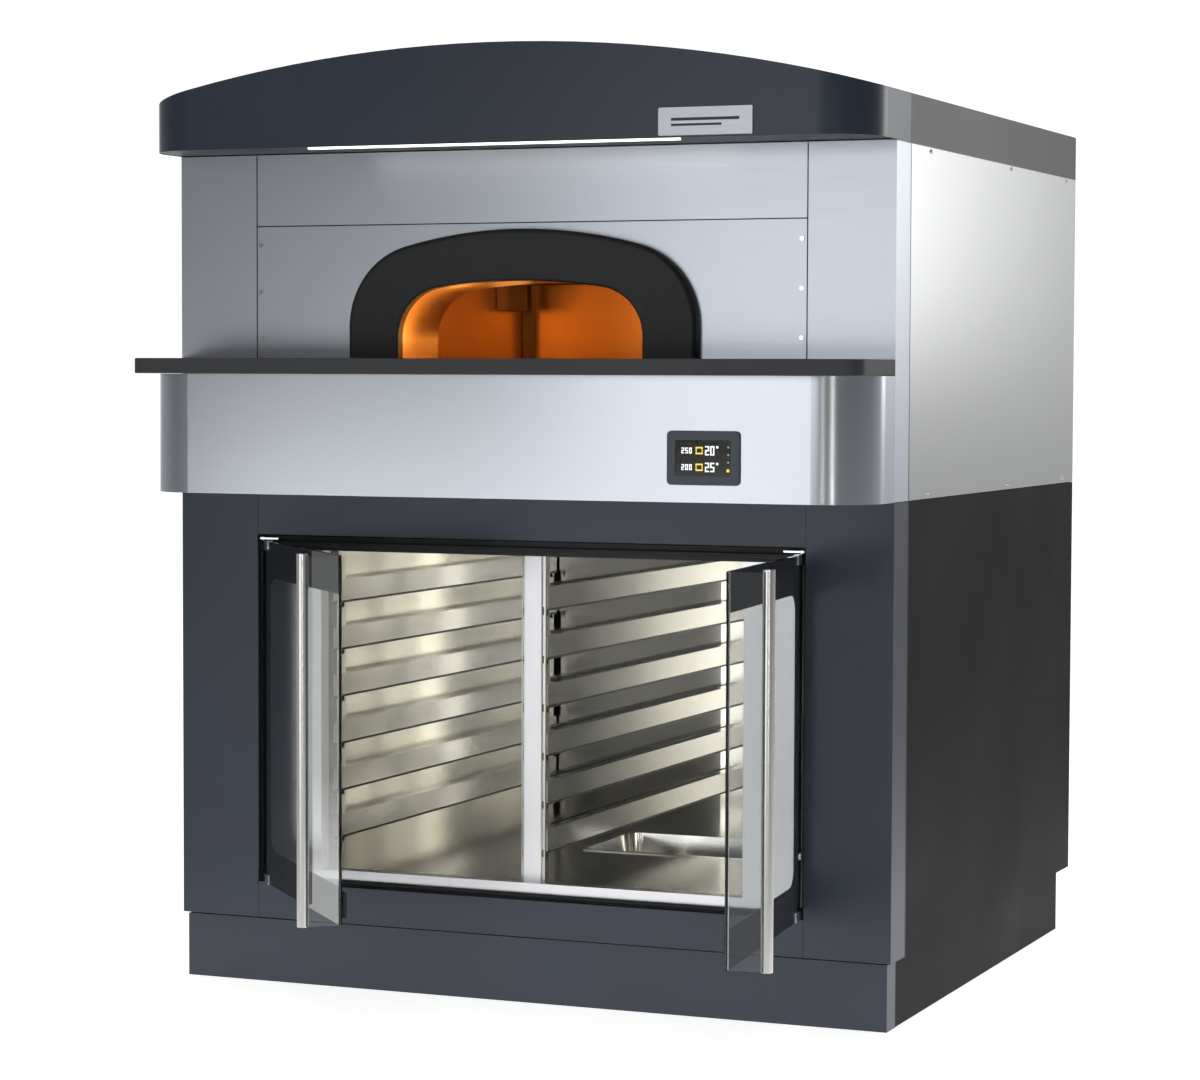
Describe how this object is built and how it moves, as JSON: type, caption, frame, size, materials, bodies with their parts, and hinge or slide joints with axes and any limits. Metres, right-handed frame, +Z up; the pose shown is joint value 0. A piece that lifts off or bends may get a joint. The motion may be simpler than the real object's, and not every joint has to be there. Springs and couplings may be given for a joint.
{
  "type": "proofing cabinet",
  "caption": "Pizza oven with an arched mouth, hood and rounded front, standing on a proofing cabinet with two glass doors, tray runners and a lift-out water pan.",
  "frame": {"origin": "on the floor, under the centre of the casing's footprint", "axes": "+X to the right as seen from the front, +Y to the rear, +Z up; the doors are on the -Y side"},
  "size_m": [1.4048, 1.7667, 1.72],
  "materials": {
    "dark_paint": "satin",
    "slate_paint": "satin",
    "black_paint": "matte",
    "casing_steel": "brushed",
    "liner_steel": "satin",
    "trim_steel": "polished",
    "bright_metal": "polished",
    "handle_metal": "satin",
    "slab_paint": "textured",
    "iron": "matte",
    "oven_steel": "heat tinted",
    "fire_stone": "rough",
    "element_metal": "matte",
    "seal_rubber": "matte",
    "border_black": "gloss",
    "door_glazing": "clear",
    "bezel_plastic": "satin",
    "screen_glass": "gloss",
    "lamp_plastic": "diffuse",
    "plate_metal": "satin",
    "foot_plastic": "matte",
    "wool": "fibrous"
  },
  "bodies": {
    "cabinet": {"kick_front": "slate_paint", "kick_panels": "dark_paint", "levelling_feet": "foot_plastic", "base_frame": "black_paint", "lower_column_left": "slate_paint", "lower_column_right": "slate_paint", "prover_top_rail": "slate_paint", "prover_bottom_rail": "slate_paint", "prover_side_left": "dark_paint", "prover_side_right": "dark_paint", "prover_rear_panel": "dark_paint", "oven_rear_panel": "casing_steel", "upper_column_left": "casing_steel", "upper_column_right": "casing_steel", "oven_side_left": "casing_steel", "oven_side_right": "casing_steel", "upper_fascia": "casing_steel", "arch_panel": "casing_steel", "arch_surround": "iron", "mouth_tunnel": "oven_steel", "chamber_walls": "oven_steel", "chamber_ceiling": "oven_steel", "stone_deck": "fire_stone", "heating_elements": "element_metal", "counter_slab": "slab_paint", "control_band": "casing_steel", "display_bezel": "bezel_plastic", "display_screen": "screen_glass", "canopy_fascia": "slate_paint", "canopy_sides": "slate_paint", "canopy_roof": "slate_paint", "canopy_soffit": "black_paint", "led_strip": "lamp_plastic", "nameplate": "plate_metal", "cavity_floor": "liner_steel", "cavity_ceiling": "liner_steel", "cavity_walls": "liner_steel", "cavity_wall_back": "liner_steel", "door_frame": "black_paint", "door_gasket": "seal_rubber", "side_trims": "trim_steel", "threshold": "trim_steel", "mullion": "trim_steel", "rack_uprights": "liner_steel", "side_runners": "liner_steel", "centre_runners": "liner_steel", "pan_heater": "element_metal", "hinge_brackets": "bright_metal", "insulation": "wool", "panel_screws": "bright_metal", "cable_gland": "foot_plastic"},
    "left_door": {"left_door_glass": "door_glazing", "left_door_border": "border_black", "left_door_handle": "handle_metal", "left_door_pivots": "bright_metal"},
    "right_door": {"right_door_glass": "door_glazing", "right_door_border": "border_black", "right_door_handle": "handle_metal", "right_door_pivots": "bright_metal"},
    "water_pan": {"water_pan": "trim_steel"}
  },
  "joints": [
    {"name": "left_door_hinge", "type": "hinge", "parent": "cabinet", "child": "left_door", "pos_m": [-0.531, -0.608, 0.509], "axis": [0, 0, -1], "range_deg": [-47.1, 62.9]},
    {"name": "right_door_hinge", "type": "hinge", "parent": "cabinet", "child": "right_door", "pos_m": [0.531, -0.608, 0.509], "axis": [0, 0, 1], "range_deg": [-96, 14]},
    {"name": "water_pan_lift", "type": "slide", "parent": "cabinet", "child": "water_pan", "axis": [0, 0, 1], "range_m": [0, 0.045]}
  ]
}
